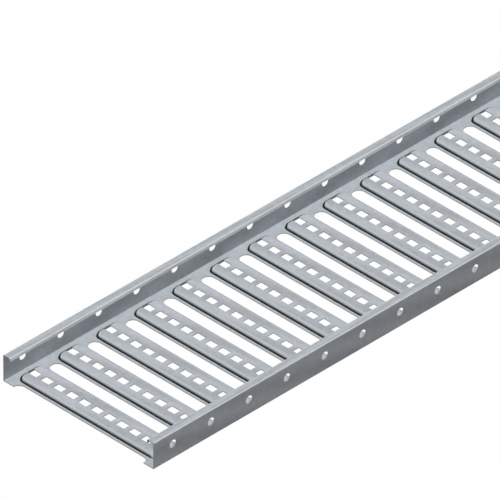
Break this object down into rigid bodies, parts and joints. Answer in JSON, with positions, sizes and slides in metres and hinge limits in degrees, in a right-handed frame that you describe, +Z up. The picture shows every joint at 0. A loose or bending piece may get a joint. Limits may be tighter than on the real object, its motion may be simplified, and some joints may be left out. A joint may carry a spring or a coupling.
{
  "type": "ladder-type cable tray section",
  "caption": "One-piece galvanised steel cable tray: folded walls with inturned flanges, raised punched rungs across the base and a long slot between each two.",
  "frame": {"origin": "under the middle of the tray, on the plane that it rests on", "axes": "+X along the tray, +Y across it, +Z up out of the open side"},
  "size_m": [2, 0.4, 0.06],
  "materials": {
    "galvanised_steel": "satin galvanised"
  },
  "bodies": {
    "root": {"cable_tray": "galvanised_steel"}
  },
  "joints": []
}
